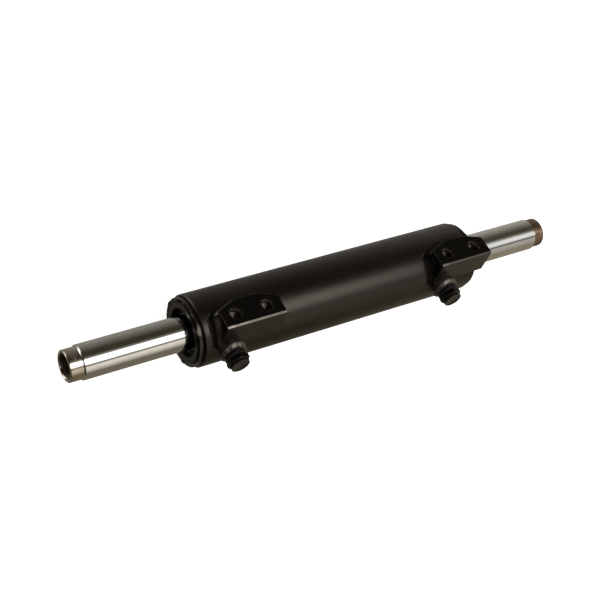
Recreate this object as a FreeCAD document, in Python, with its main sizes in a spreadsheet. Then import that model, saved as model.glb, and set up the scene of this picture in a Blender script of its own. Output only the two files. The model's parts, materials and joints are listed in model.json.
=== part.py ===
import FreeCAD, Part
import math
import os
import Sketcher
from FreeCAD import Placement, Rotation, Vector

# Double-rod hydraulic steering cylinder, in millimetres.
# Origin: middle of the barrel, on its axis.  +X runs along the rod, +Z is the normal of the
# two mounting pads' flat tops, and the two oil ports point towards -Y.
# Every turned piece is drawn in its own frame, lying along its own X axis from x = 0, and is
# then put in place.  The pieces at the barrel's left end are the right end's pieces turned
# half a turn about Z.

DIMENSIONS = [
    # barrel
    ("barrel_length", 378.0),
    ("barrel_radius", 42.5),
    ("barrel_edge", 1.4),
    ("bore_radius", 35.0),
    ("counterbore_radius", 40.4),
    ("counterbore_depth", 5.0),
    # mounting pads
    ("left_pad_x", -131.5),
    ("right_pad_x", 165.4),
    ("pad_top", 51.0),
    ("pad_bottom", 17.5),
    ("pad_front", 39.4),
    ("pad_corner", 14.5),
    ("pad_back", 5.6),
    ("pad_half_front", 38.0),
    ("pad_half_back", 14.5),
    ("pad_edge", 0.9),
    ("pad_chamfer_top", 2.4),
    ("pad_chamfer_front", 1.7),
    ("pad_hole_spacing", 40.5),
    ("pad_hole_y", 22.8),
    ("pad_hole_diameter", 16.0),
    ("pad_hole_depth", 10.0),
    ("pad_weld_leg", 6.0),
    # oil ports
    ("left_port_x", -151.5),
    ("right_port_x", 151.5),
    ("oil_hole_diameter", 8.0),
    ("boss_radius", 13.0),
    ("boss_face", 49.2),
    ("port_thread_radius", 9.0),
    ("boss_weld_leg", 3.6),
    ("plug_seal_radius", 12.4),
    ("plug_seal_thickness", 1.4),
    ("plug_hex", 24.0),
    ("plug_hex_height", 7.2),
    ("plug_shank", 6.0),
    ("plug_neck_radius", 9.6),
    ("plug_neck_length", 1.4),
    ("plug_disc_radius", 11.4),
    ("plug_disc_thickness", 2.0),
    ("plug_edge", 0.5),
    ("plug_corner_start", 0.2),
    ("plug_corner_slope", 0.6),
    # glands, one in each end of the barrel
    ("gland_depth", 43.0),
    ("gland_pilot_radius", 31.0),
    ("gland_pilot_length", 17.0),
    ("gland_flange_radius", 39.4),
    ("gland_rim_depth", 2.0),
    ("gland_collar_radius", 36.4),
    ("gland_collar_out", 2.0),
    ("gland_nose_radius", 35.2),
    ("gland_nose_out", 6.0),
    ("gland_mouth_radius", 28.5),
    ("gland_mouth_depth", 8.0),
    ("gland_edge", 0.7),
    ("gland_rod_clearance", 0.4),
    ("fit_gap", 0.05),
    ("oring_groove_start", 20.0),
    ("oring_groove_width", 5.4),
    ("oring_groove_radius", 31.2),
    ("oring_wire_radius", 1.88),
    ("backup_width", 1.4),
    ("bush_start", 3.0),
    ("bush_length", 12.0),
    ("bush_radius", 22.5),
    ("seal_start", 24.0),
    ("seal_length", 7.0),
    ("seal_radius", 25.0),
    ("wiper_start", 33.0),
    ("wiper_length", 7.0),
    ("wiper_lip_root_radius", 23.6),
    ("wiper_lip_tip_radius", 21.6),
    ("wiper_lip_length", 2.0),
    ("lock_ring_radius", 40.3),
    ("lock_ring_thickness", 1.4),
    ("lock_rim_height", 3.4),
    ("lock_rim_width", 1.4),
    ("lock_tab_radius", 40.1),
    ("lock_tab_width", 5.4),
    ("lock_tab_thickness", 2.0),
    ("lock_tab_reach", 4.4),
    ("lock_tab_count", 6),
    ("left_lock_turn", 24.0),
    ("right_lock_turn", 0.0),
    # rod, and where it rests along the barrel
    ("rod_rest_x", -2.9),
    ("rod_length", 667.0),
    ("rod_radius", 20.0),
    ("rod_shoulder", 1.4),
    ("spigot_radius", 18.4),
    ("spigot_length", 15.0),
    ("spigot_edge", 0.8),
    ("rod_thread_radius", 15.0),
    ("rod_thread_depth", 38.0),
    ("rod_thread_mouth", 1.2),
    ("snap_groove_radius", 18.6),
    ("snap_ring_width", 2.5),
    ("snap_ring_radius", 21.6),
    # piston
    ("piston_length", 60.0),
    ("piston_radius", 34.6),
    ("piston_edge", 1.0),
    ("piston_seal_width", 8.0),
    ("piston_seal_floor", 29.5),
    ("piston_seal_joint", 31.6),
    ("wear_ring_width", 9.6),
    ("wear_ring_floor", 32.4),
    ("wear_ring_offset", 18.0),
    ("groove_gap", 0.1),
    ("bore_oring_offset", 11.0),
    ("bore_oring_width", 3.4),
    ("bore_oring_floor", 22.4),
]

DRILL_POINT_ANGLE = 118.0
WELD_STEPS = 3
HALF_TURN = 180.0
SMALL = 1e-6
LEFT = "left"
RIGHT = "right"

document = FreeCAD.newDocument("steering_cylinder")
sheet = document.addObject("Spreadsheet::Sheet", "Dim")
for row, (alias, size) in enumerate(DIMENSIONS, start=1):
    sheet.set(f"A{row}", alias)
    sheet.set(f"B{row}", str(size))
    sheet.setAlias(f"B{row}", alias)
document.recompute()

nodes = []


def number(expression):
    """The present value of a sheet expression, as a plain number."""
    found = sheet.evalExpression(expression)
    return float(getattr(found, "Value", found))


def plane(body, role):
    """One of the body's own origin planes."""
    for feature in body.Origin.OriginFeatures:
        if feature.Role == role:
            return feature
    raise ValueError(role)


def new_body(label):
    body = document.addObject("PartDesign::Body", label)
    body.Label = label
    nodes.append(body)
    return body


def new_sketch(body, role, height="0"):
    """An empty sketch on an origin plane, lifted along that plane's normal by height."""
    sketch = body.newObject("Sketcher::SketchObject", body.Label + "_sketch")
    sketch.AttachmentSupport = [(plane(body, role), "")]
    sketch.MapMode = "FlatFace"
    if height != "0":
        sketch.setExpression("AttachmentOffset.Base.z", height)
    return sketch


def hold(sketch, geometry, point, direction, expression):
    """Fixes one coordinate of a sketch point to a sheet expression."""
    size = number(expression)
    if abs(size) < SMALL:
        axis = -2 if direction == "DistanceX" else -1
        sketch.addConstraint(Sketcher.Constraint("PointOnObject", geometry, point, axis))
        return
    if size > 0:
        held = Sketcher.Constraint(direction, -1, 1, geometry, point, size)
    else:
        held = Sketcher.Constraint(direction, geometry, point, -1, 1, -size)
        expression = f"-({expression})"
    index = sketch.addConstraint(held)
    sketch.setExpression(f"Constraints[{index}]", expression)


def draw_outline(sketch, corners):
    """A closed outline of straight lines, each corner held by two sheet expressions."""
    points = [Vector(number(along), number(across), 0) for along, across in corners]
    for index, point in enumerate(points):
        following = points[(index + 1) % len(points)]
        sketch.addGeometry(Part.LineSegment(point, following))
    for index, (along, across) in enumerate(corners):
        following = (index + 1) % len(points)
        sketch.addConstraint(Sketcher.Constraint("Coincident", index, 2, following, 1))
        hold(sketch, index, 1, "DistanceX", along)
        hold(sketch, index, 1, "DistanceY", across)


def draw_circle(sketch, along, across, radius):
    """A circle whose centre and radius are held by sheet expressions."""
    centre = Vector(number(along), number(across), 0)
    index = sketch.addGeometry(Part.Circle(centre, Vector(0, 0, 1), number(radius)))
    hold(sketch, index, 3, "DistanceX", along)
    hold(sketch, index, 3, "DistanceY", across)
    constraint = sketch.addConstraint(Sketcher.Constraint("Radius", index, number(radius)))
    sketch.setExpression(f"Constraints[{constraint}]", radius)


def turned(label, corners):
    """A body turned about its X axis; corners are (distance along the axis, radius)."""
    body = new_body(label)
    sketch = new_sketch(body, "XY_Plane")
    draw_outline(sketch, corners)
    turning = body.newObject("PartDesign::Revolution", label + "_turning")
    turning.Profile = sketch
    turning.ReferenceAxis = (sketch, ["H_Axis"])
    turning.Angle = 360
    sketch.Visibility = False
    return body


def ring(label, length, inner, outer):
    """A plain ring of rectangular section."""
    return turned(label, [("0", inner), ("0", outer), (length, outer), (length, inner)])


def push(body, kind, sketch, length, reverse=False, midplane=False):
    """A pad or a pocket of a sketch, of a length from the sheet."""
    feature = body.newObject(kind, sketch.Name + "_" + kind.split("::")[1].lower())
    feature.Profile = sketch
    feature.Reversed = reverse
    feature.Midplane = midplane
    feature.setExpression("Length", length)
    sketch.Visibility = False
    return feature


def place(piece, along="0", turn=Rotation()):
    """Puts a piece at a distance along the cylinder's axis, after turning it about its origin."""
    piece.Placement = Placement(Vector(number(along), 0, 0), turn)
    piece.setExpression("Placement.Base.x", along)


def half_turn(side):
    """The turn that takes a right-hand piece to its side of the cylinder."""
    return Rotation(Vector(0, 0, 1), HALF_TURN if side == LEFT else 0)


def place_at_end(piece, side, along, spin=0.0):
    """Puts an end piece, whose own x = 0 lies at the distance along from the barrel's middle."""
    sign = "-" if side == LEFT else ""
    place(piece, f"{sign}({along})", half_turn(side).multiply(Rotation(Vector(1, 0, 0), spin)))


def require_cut(body, feature):
    """A pocket must take material away; one that points out of the solid would not."""
    document.recompute()
    before = feature.BaseFeature.Shape.Volume
    if not feature.Shape.Volume < before - SMALL:
        raise RuntimeError(f"{feature.Name} cuts nothing in {body.Label}")


# ---------------------------------------------------------------- barrel

def make_barrel_tube():
    """Honed tube: counterbored for the glands and drilled through under each port boss."""
    tube = turned("barrel_tube", [
        ("0", "Dim.counterbore_radius"),
        ("0", "Dim.barrel_radius - Dim.barrel_edge"),
        ("Dim.barrel_edge", "Dim.barrel_radius"),
        ("Dim.barrel_length - Dim.barrel_edge", "Dim.barrel_radius"),
        ("Dim.barrel_length", "Dim.barrel_radius - Dim.barrel_edge"),
        ("Dim.barrel_length", "Dim.counterbore_radius"),
        ("Dim.barrel_length - Dim.counterbore_depth", "Dim.counterbore_radius"),
        ("Dim.barrel_length - Dim.counterbore_depth", "Dim.bore_radius"),
        ("Dim.counterbore_depth", "Dim.bore_radius"),
        ("Dim.counterbore_depth", "Dim.counterbore_radius"),
    ])
    for side in (LEFT, RIGHT):
        sketch = new_sketch(tube, "XZ_Plane")
        along = f"Dim.barrel_length / 2 + Dim.{side}_port_x"
        draw_circle(sketch, along, "0", "Dim.oil_hole_diameter / 2")
        drilling = push(tube, "PartDesign::Pocket", sketch, "Dim.barrel_radius + 1", reverse=True)
        require_cut(tube, drilling)
    place(tube, "-Dim.barrel_length / 2")


def pad_outline(margin=0):
    """The pad's plan outline, as (along, across) expressions.

    A margin moves the sides, the back and the sloping edges between them outwards.
    """
    side = f"(Dim.pad_half_front + {margin})"
    back = f"(Dim.pad_half_back + {margin})"
    return [
        (f"-{side}", "-Dim.pad_front"),
        (side, "-Dim.pad_front"),
        (side, f"{margin} - Dim.pad_corner"),
        (back, f"{margin} - Dim.pad_back"),
        (f"-{back}", f"{margin} - Dim.pad_back"),
        (f"-{side}", f"{margin} - Dim.pad_corner"),
    ]


def edges_near_top(shape, depth):
    """Names of the edges of a body that reach to within a depth of its highest point."""
    lowest = shape.BoundBox.ZMax - depth - SMALL
    names = []
    for index, edge in enumerate(shape.Edges, start=1):
        if max(vertex.Z for vertex in edge.Vertexes) > lowest:
            names.append(f"Edge{index}")
    return names


def front_top_edge(shape):
    """Name of the edge of a body that lies highest and furthest towards -Y."""
    ranked = []
    for index, edge in enumerate(shape.Edges, start=1):
        middle = edge.BoundBox.Center
        ranked.append((round(middle.y, 3), -round(middle.z, 3), f"Edge{index}"))
    return min(ranked)[2]


def make_mounting_pad(side):
    """Saddle block on the barrel, with a flat top, a chamfered front and two tapped holes."""
    pad = new_body(f"{side}_mounting_pad")
    outline = new_sketch(pad, "XY_Plane", "Dim.pad_bottom")
    draw_outline(outline, pad_outline())
    push(pad, "PartDesign::Pad", outline, "Dim.pad_top - Dim.pad_bottom")

    saddle = new_sketch(pad, "YZ_Plane")
    draw_circle(saddle, "0", "0", "Dim.barrel_radius")
    saddle_cut = push(pad, "PartDesign::Pocket", saddle, "4 * Dim.pad_half_front", midplane=True)
    require_cut(pad, saddle_cut)

    slope = pad.newObject("PartDesign::Chamfer", pad.Label + "_front")
    slope.Base = (saddle_cut, [front_top_edge(saddle_cut.Shape)])
    slope.ChamferType = "Two distances"
    slope.setExpression("Size", "Dim.pad_chamfer_front")
    slope.setExpression("Size2", "Dim.pad_chamfer_top")
    document.recompute()
    softening = pad.newObject("PartDesign::Fillet", pad.Label + "_edges")
    softening.Base = (slope, edges_near_top(slope.Shape, number("Dim.pad_chamfer_front")))
    softening.setExpression("Radius", "Dim.pad_edge")
    document.recompute()

    centres = new_sketch(pad, "XY_Plane", "Dim.pad_top")
    for sign in ("-", ""):
        along = f"{sign}Dim.pad_hole_spacing / 2"
        draw_circle(centres, along, "-Dim.pad_hole_y", "Dim.pad_hole_diameter / 2")
    document.recompute()
    tapping = pad.newObject("PartDesign::Hole", pad.Label + "_holes")
    tapping.Profile = centres
    tapping.Threaded = False
    tapping.DepthType = "Dimension"
    tapping.DrillPoint = "Angled"
    tapping.DrillPointAngle = DRILL_POINT_ANGLE
    tapping.setExpression("Diameter", "Dim.pad_hole_diameter")
    tapping.setExpression("Depth", "Dim.pad_hole_depth")
    centres.Visibility = False
    require_cut(pad, tapping)
    place(pad, f"Dim.{side}_pad_x")


def shell(inner, outer, half_length):
    """A thick-walled tube about the X axis."""
    start = Vector(-half_length, 0, 0)
    axis = Vector(1, 0, 0)
    outside = Part.makeCylinder(outer, 2 * half_length, start, axis)
    return outside.cut(Part.makeCylinder(inner, 2 * half_length, start, axis))


def prism(corners, base, top):
    """An upright prism on a plan outline of (along, across) expressions."""
    points = [Vector(number(along), number(across), base) for along, across in corners]
    face = Part.Face(Part.makePolygon(points + points[:1]))
    return face.extrude(Vector(0, 0, top - base))


def pad_block(along):
    """The space a pad takes up, with its middle at a distance along the cylinder."""
    block = prism(pad_outline(), number("Dim.pad_bottom"), number("Dim.pad_top"))
    block.translate(Vector(along, 0, 0))
    return block


def welded_node(label, shape, along):
    """A weld bead, whose shape follows the two pieces it joins."""
    bead = document.addObject("Part::Feature", label)
    bead.Label = label
    bead.Shape = shape
    place(bead, along)
    nodes.append(bead)


def make_pad_weld(side):
    """Fillet weld round the sides and back of a pad, stepped down away from the pad."""
    radius = number("Dim.barrel_radius")
    leg = number("Dim.pad_weld_leg")
    base = number("Dim.pad_bottom")
    top = number("Dim.pad_top")
    barrel_half = number("Dim.barrel_length / 2")
    pad_x = number(f"Dim.{side}_pad_x")
    reach = number("4 * Dim.pad_half_front")
    bead = None
    for step in range(WELD_STEPS):
        margin = leg * (WELD_STEPS - step) / WELD_STEPS
        low = radius + leg * step / WELD_STEPS
        high = radius + leg * (step + 1) / WELD_STEPS
        layer = shell(low, high, reach).common(prism(pad_outline(margin), base, top))
        bead = layer if bead is None else bead.fuse(layer)
    bead = bead.cut(pad_block(0))
    on_barrel = Part.makeBox(2 * barrel_half, 4 * radius, 4 * radius,
                             Vector(-barrel_half - pad_x, -2 * radius, -2 * radius))
    bead = bead.common(on_barrel).removeSplitter()
    welded_node(f"{side}_pad_weld", bead, f"Dim.{side}_pad_x")


def make_port_boss(side):
    """Short threaded boss, saddled on the barrel, that an oil line screws into."""
    boss = new_body(f"{side}_port_boss")
    section = new_sketch(boss, "XZ_Plane")
    draw_circle(section, "0", "0", "Dim.boss_radius")
    push(boss, "PartDesign::Pad", section, "Dim.boss_face")
    saddle = new_sketch(boss, "YZ_Plane")
    draw_circle(saddle, "0", "0", "Dim.barrel_radius")
    saddle_cut = push(boss, "PartDesign::Pocket", saddle, "4 * Dim.boss_radius", midplane=True)
    require_cut(boss, saddle_cut)
    thread = new_sketch(boss, "XZ_Plane")
    draw_circle(thread, "0", "0", "Dim.port_thread_radius")
    opening = push(boss, "PartDesign::Pocket", thread, "Dim.boss_face + 1", reverse=True)
    require_cut(boss, opening)
    place(boss, f"Dim.{side}_port_x")


def make_port_weld(side):
    """Weld bead round a port boss, stopping at the pad beside it."""
    radius = number("Dim.barrel_radius")
    leg = number("Dim.boss_weld_leg")
    boss_radius = number("Dim.boss_radius")
    away = Vector(0, -1, 0)
    bead = None
    for step in range(WELD_STEPS):
        outer = boss_radius + leg * (WELD_STEPS - step) / WELD_STEPS
        low = radius + leg * step / WELD_STEPS
        high = radius + leg * (step + 1) / WELD_STEPS
        column = Part.makeCylinder(outer, 2 * radius, Vector(0, 0, 0), away)
        layer = shell(low, high, 2 * radius).common(column)
        bead = layer if bead is None else bead.fuse(layer)
    boss_core = Part.makeCylinder(boss_radius, 2 * radius, Vector(0, 0, 0), away)
    bead = bead.cut(boss_core).cut(pad_block(number(f"Dim.{side}_pad_x - Dim.{side}_port_x")))
    welded_node(f"{side}_port_weld", bead.removeSplitter(), f"Dim.{side}_port_x")


def port_turn():
    """Turns a piece lying along +X so that it points out of a port, along -Y."""
    return Rotation(Vector(0, 0, 1), -HALF_TURN / 2)


def place_in_port(piece, side, height):
    piece.Placement = Placement(Vector(number(f"Dim.{side}_port_x"), -number(height), 0),
                                port_turn())
    piece.setExpression("Placement.Base.x", f"Dim.{side}_port_x")
    piece.setExpression("Placement.Base.y", f"-({height})")


def make_plug_seal(side):
    """Bonded washer under the plug's head."""
    seal = ring(f"{side}_plug_seal", "Dim.plug_seal_thickness",
                "Dim.port_thread_radius", "Dim.plug_seal_radius")
    place_in_port(seal, side, "Dim.boss_face")


def make_port_plug(side):
    """Hexagon-headed plug with a round end disc above a neck."""
    start = "Dim.plug_shank"
    head = "(Dim.plug_shank + Dim.plug_hex_height)"
    neck = "(Dim.plug_shank + Dim.plug_hex_height + Dim.plug_neck_length)"
    end = f"({neck} + Dim.plug_disc_thickness)"
    plug = turned(f"{side}_port_plug", [
        ("0", "0"),
        ("0", "Dim.port_thread_radius - Dim.fit_gap - Dim.plug_edge"),
        ("Dim.plug_edge", "Dim.port_thread_radius - Dim.fit_gap"),
        (start, "Dim.port_thread_radius - Dim.fit_gap"),
        (start, "Dim.plug_neck_radius"),
        (neck, "Dim.plug_neck_radius"),
        (neck, "Dim.plug_disc_radius"),
        (f"{end} - Dim.plug_edge", "Dim.plug_disc_radius"),
        (end, "Dim.plug_disc_radius - Dim.plug_edge"),
        (end, "0"),
    ])
    hexagon = new_sketch(plug, "YZ_Plane", start)
    flat = "Dim.plug_hex / 2"
    corner = "Dim.plug_hex / sqrt(3)"
    draw_outline(hexagon, [
        (corner, "0"), (f"{corner} / 2", flat), (f"-{corner} / 2", flat),
        (f"-{corner}", "0"), (f"-{corner} / 2", f"-{flat}"), (f"{corner} / 2", f"-{flat}"),
    ])
    push(plug, "PartDesign::Pad", hexagon, "Dim.plug_hex_height")
    document.recompute()
    rounding = new_sketch(plug, "XY_Plane")
    inside = f"({flat} - Dim.plug_corner_start)"
    beyond = "Dim.plug_hex"
    draw_outline(rounding, [
        (head, inside),
        (f"{head} - Dim.plug_corner_slope * ({beyond} - {inside})", beyond),
        (head, beyond),
    ])
    relief = plug.newObject("PartDesign::Groove", plug.Label + "_corners")
    relief.Profile = rounding
    relief.ReferenceAxis = (rounding, ["H_Axis"])
    relief.Angle = 360
    rounding.Visibility = False
    require_cut(plug, relief)
    place_in_port(plug, side, "Dim.boss_face + Dim.plug_seal_thickness - Dim.plug_shank")


# ---------------------------------------------------------------- glands

GLAND_INNER_FACE = "Dim.barrel_length / 2 - Dim.gland_depth"


def make_gland(side):
    """Gland screwed into the barrel's end: it guides, seals and wipes the rod.

    Its inner end is a slimmer pilot, so that oil from the port runs round it to the piston.
    Its outer end has a flange in the barrel's counterbore, a collar that the lock ring rests
    on, and a nose with a deep mouth round the rod.
    """
    bore = "Dim.rod_radius + Dim.gland_rod_clearance"
    body_radius = "Dim.bore_radius - Dim.fit_gap"
    groove_end = "Dim.oring_groove_start + Dim.oring_groove_width"
    flange_start = "Dim.gland_depth - Dim.counterbore_depth"
    rim_end = "Dim.gland_depth - Dim.gland_rim_depth"
    collar_end = "Dim.gland_depth + Dim.gland_collar_out"
    nose_end = "Dim.gland_depth + Dim.gland_nose_out"
    mouth_floor = f"{nose_end} - Dim.gland_mouth_depth"
    gland = turned(f"{side}_gland", [
        ("0", bore),
        ("0", "Dim.gland_pilot_radius - Dim.gland_edge"),
        ("Dim.gland_edge", "Dim.gland_pilot_radius"),
        ("Dim.gland_pilot_length", "Dim.gland_pilot_radius"),
        ("Dim.gland_pilot_length", body_radius),
        ("Dim.oring_groove_start", body_radius),
        ("Dim.oring_groove_start", "Dim.oring_groove_radius"),
        (groove_end, "Dim.oring_groove_radius"),
        (groove_end, body_radius),
        (flange_start, body_radius),
        (flange_start, "Dim.gland_flange_radius"),
        (f"{rim_end} - Dim.gland_edge", "Dim.gland_flange_radius"),
        (rim_end, "Dim.gland_flange_radius - Dim.gland_edge"),
        (rim_end, "Dim.gland_collar_radius"),
        (collar_end, "Dim.gland_collar_radius"),
        (collar_end, "Dim.gland_nose_radius"),
        (f"{nose_end} - Dim.gland_edge", "Dim.gland_nose_radius"),
        (nose_end, "Dim.gland_nose_radius - Dim.gland_edge"),
        (nose_end, "Dim.gland_mouth_radius"),
        (mouth_floor, "Dim.gland_mouth_radius - Dim.gland_edge"),
        (mouth_floor, "Dim.seal_radius"),
        ("Dim.wiper_start", "Dim.seal_radius"),
        ("Dim.wiper_start", bore),
        ("Dim.seal_start + Dim.seal_length", bore),
        ("Dim.seal_start + Dim.seal_length", "Dim.seal_radius"),
        ("Dim.seal_start", "Dim.seal_radius"),
        ("Dim.seal_start", bore),
        ("Dim.bush_start + Dim.bush_length", bore),
        ("Dim.bush_start + Dim.bush_length", "Dim.bush_radius"),
        ("Dim.bush_start", "Dim.bush_radius"),
        ("Dim.bush_start", bore),
    ])
    place_at_end(gland, side, GLAND_INNER_FACE)


def place_in_gland(piece, side, start):
    place_at_end(piece, side, f"{GLAND_INNER_FACE} + {start}")


def make_gland_seals(side):
    """The rings that a gland carries inside and out."""
    running = "Dim.rod_radius + Dim.fit_gap"
    bush = ring(f"{side}_rod_bushing", "Dim.bush_length", running, "Dim.bush_radius")
    place_in_gland(bush, side, "Dim.bush_start")
    seal = ring(f"{side}_rod_seal", "Dim.seal_length", running, "Dim.seal_radius")
    place_in_gland(seal, side, "Dim.seal_start")
    lip_end = "Dim.wiper_length + Dim.wiper_lip_length"
    wiper = turned(f"{side}_rod_wiper", [
        ("0", running),
        ("0", "Dim.seal_radius"),
        ("Dim.wiper_length", "Dim.seal_radius"),
        ("Dim.wiper_length", "Dim.wiper_lip_root_radius"),
        (lip_end, "Dim.wiper_lip_tip_radius"),
        (lip_end, running),
    ])
    place_in_gland(wiper, side, "Dim.wiper_start")
    backup = ring(f"{side}_gland_backup_ring", "Dim.backup_width",
                  "Dim.oring_groove_radius", "Dim.bore_radius - Dim.fit_gap")
    place_in_gland(backup, side, "Dim.oring_groove_start + Dim.oring_groove_width"
                                 " - Dim.backup_width")
    oring = document.addObject("Part::Torus", f"{side}_gland_oring")
    oring.Label = f"{side}_gland_oring"
    oring.setExpression("Radius1", "Dim.oring_groove_radius + Dim.oring_wire_radius")
    oring.setExpression("Radius2", "Dim.oring_wire_radius")
    sign = "-" if side == LEFT else ""
    place(oring, f"{sign}({GLAND_INNER_FACE} + Dim.oring_groove_start + Dim.oring_wire_radius)",
          Rotation(Vector(0, 1, 0), HALF_TURN / 2))
    nodes.append(oring)


def make_lock_ring(side):
    """Dished ring on the gland's collar, with a raised rim and six tabs bent outwards."""
    bore = "Dim.gland_nose_radius + Dim.fit_gap"
    lock = turned(f"{side}_lock_ring", [
        ("0", bore),
        ("0", "Dim.lock_ring_radius"),
        ("Dim.lock_rim_height", "Dim.lock_ring_radius"),
        ("Dim.lock_rim_height", "Dim.lock_ring_radius - Dim.lock_rim_width"),
        ("Dim.lock_ring_thickness", bore),
    ])
    tab = new_sketch(lock, "YZ_Plane")
    inner = "Dim.lock_tab_radius - Dim.lock_tab_thickness"
    draw_outline(tab, [
        ("-Dim.lock_tab_width / 2", inner), ("Dim.lock_tab_width / 2", inner),
        ("Dim.lock_tab_width / 2", "Dim.lock_tab_radius"),
        ("-Dim.lock_tab_width / 2", "Dim.lock_tab_radius"),
    ])
    upright = push(lock, "PartDesign::Pad", tab, "Dim.lock_tab_reach")
    tabs = lock.newObject("PartDesign::PolarPattern", lock.Label + "_tabs")
    tabs.Originals = [upright]
    tabs.Axis = (tab, ["N_Axis"])
    tabs.Angle = 360
    tabs.Occurrences = int(number("Dim.lock_tab_count"))
    lock.Tip = tabs
    along = "Dim.barrel_length / 2 + Dim.gland_collar_out"
    place_at_end(lock, side, along, number(f"Dim.{side}_lock_turn"))


# ---------------------------------------------------------------- rod and piston

def make_piston_rod():
    """Through rod with a tapped, turned-down end on each side."""
    drill_tip = f"Dim.rod_thread_depth + Dim.rod_thread_radius / tan({DRILL_POINT_ANGLE / 2} deg)"
    groove_middle = "Dim.piston_length / 2 + Dim.snap_ring_width / 2 + Dim.groove_gap"
    groove_half = "Dim.snap_ring_width / 2 + Dim.groove_gap"
    half = [
        (drill_tip, "0"),
        ("Dim.rod_thread_depth", "Dim.rod_thread_radius"),
        ("Dim.rod_thread_mouth", "Dim.rod_thread_radius"),
        ("0", "Dim.rod_thread_radius + Dim.rod_thread_mouth"),
        ("0", "Dim.spigot_radius - Dim.spigot_edge"),
        ("Dim.spigot_edge", "Dim.spigot_radius"),
        ("Dim.spigot_length", "Dim.spigot_radius"),
        ("Dim.spigot_length + Dim.rod_shoulder", "Dim.rod_radius"),
        (f"Dim.rod_length / 2 - ({groove_middle}) - ({groove_half})", "Dim.rod_radius"),
        (f"Dim.rod_length / 2 - ({groove_middle}) - ({groove_half})", "Dim.snap_groove_radius"),
        (f"Dim.rod_length / 2 - ({groove_middle}) + ({groove_half})", "Dim.snap_groove_radius"),
        (f"Dim.rod_length / 2 - ({groove_middle}) + ({groove_half})", "Dim.rod_radius"),
    ]
    far_half = [(f"Dim.rod_length - ({along})", radius) for along, radius in reversed(half)]
    rod = turned("piston_rod", half + far_half)
    place(rod, "Dim.rod_rest_x - Dim.rod_length / 2")


def make_piston():
    """Piston with a middle seal groove, a wear-ring groove on each side and a bore groove."""
    middle = "Dim.piston_length / 2"
    outside = "Dim.piston_radius"
    grooves = []
    for offset, width, floor in (
        ("-Dim.wear_ring_offset", "Dim.wear_ring_width", "Dim.wear_ring_floor"),
        ("0", "Dim.piston_seal_width", "Dim.piston_seal_floor"),
        ("Dim.wear_ring_offset", "Dim.wear_ring_width", "Dim.wear_ring_floor"),
    ):
        start = f"{middle} + {offset} - {width} / 2 - Dim.groove_gap"
        stop = f"{middle} + {offset} + {width} / 2 + Dim.groove_gap"
        grooves += [(start, outside), (start, floor), (stop, floor), (stop, outside)]
    bore = "Dim.rod_radius + Dim.fit_gap / 2"
    bore_start = f"{middle} + Dim.bore_oring_offset - Dim.bore_oring_width / 2"
    bore_stop = f"{middle} + Dim.bore_oring_offset + Dim.bore_oring_width / 2"
    piston = turned("piston", [
        ("0", bore),
        ("0", f"{outside} - Dim.piston_edge"),
        ("Dim.piston_edge", outside),
        *grooves,
        ("Dim.piston_length - Dim.piston_edge", outside),
        ("Dim.piston_length", f"{outside} - Dim.piston_edge"),
        ("Dim.piston_length", bore),
        (bore_stop, bore),
        (bore_stop, "Dim.bore_oring_floor"),
        (bore_start, "Dim.bore_oring_floor"),
        (bore_start, bore),
    ])
    place(piston, "Dim.rod_rest_x - Dim.piston_length / 2")


def make_piston_rings():
    """Seal, its energizer ring and two wear rings, all running in the honed bore."""
    running = "Dim.bore_radius - Dim.fit_gap"
    seal = ring("piston_seal", "Dim.piston_seal_width", "Dim.piston_seal_joint", running)
    place(seal, "Dim.rod_rest_x - Dim.piston_seal_width / 2")
    energizer = ring("piston_seal_energizer", "Dim.piston_seal_width",
                     "Dim.piston_seal_floor + Dim.fit_gap", "Dim.piston_seal_joint")
    place(energizer, "Dim.rod_rest_x - Dim.piston_seal_width / 2")
    for side, sign in ((LEFT, "-"), (RIGHT, "+")):
        wear = ring(f"{side}_wear_ring", "Dim.wear_ring_width",
                    "Dim.wear_ring_floor + Dim.fit_gap", running)
        place(wear, f"Dim.rod_rest_x {sign} Dim.wear_ring_offset - Dim.wear_ring_width / 2")
    inner = "Dim.rod_radius + Dim.fit_gap / 2"
    bore_ring = ring("piston_bore_seal", "Dim.bore_oring_width - 2 * Dim.groove_gap",
                     inner, "Dim.bore_oring_floor")
    place(bore_ring, "Dim.rod_rest_x + Dim.bore_oring_offset - Dim.bore_oring_width / 2"
                     " + Dim.groove_gap")
    for side, start in ((LEFT, "- Dim.piston_length / 2 - Dim.snap_ring_width - Dim.groove_gap"),
                        (RIGHT, "+ Dim.piston_length / 2 + Dim.groove_gap")):
        snap = ring(f"{side}_piston_snap_ring", "Dim.snap_ring_width",
                    "Dim.snap_groove_radius", "Dim.snap_ring_radius")
        place(snap, f"Dim.rod_rest_x {start}")


def check_document():
    """Stops before anything is written if an object failed or a piece is not a sound solid."""
    for item in document.Objects:
        if "Invalid" in item.State or "Error" in item.State:
            raise RuntimeError(f"{item.Label}: {item.State}")
    for node in nodes:
        shape = node.Shape
        if shape.isNull() or not shape.isValid() or not shape.Solids:
            raise RuntimeError(f"{node.Label} is not a sound solid")


make_barrel_tube()
for side in (LEFT, RIGHT):
    make_mounting_pad(side)
    make_pad_weld(side)
    make_port_boss(side)
    make_port_weld(side)
    make_plug_seal(side)
    make_port_plug(side)
    make_gland(side)
    make_gland_seals(side)
    make_lock_ring(side)
make_piston_rod()
make_piston()
make_piston_rings()
document.recompute()
check_document()

os.makedirs("parts", exist_ok=True)
for node in nodes:
    node.Shape.exportStep(f"parts/{node.Label}.step")
    box = node.Shape.BoundBox
    print(f"{node.Label}: {len(node.Shape.Solids)} solid, volume {node.Shape.Volume:.0f}, "
          f"x {box.XMin:.1f}..{box.XMax:.1f}, y {box.YMin:.1f}..{box.YMax:.1f}, "
          f"z {box.ZMin:.1f}..{box.ZMax:.1f}")
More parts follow.
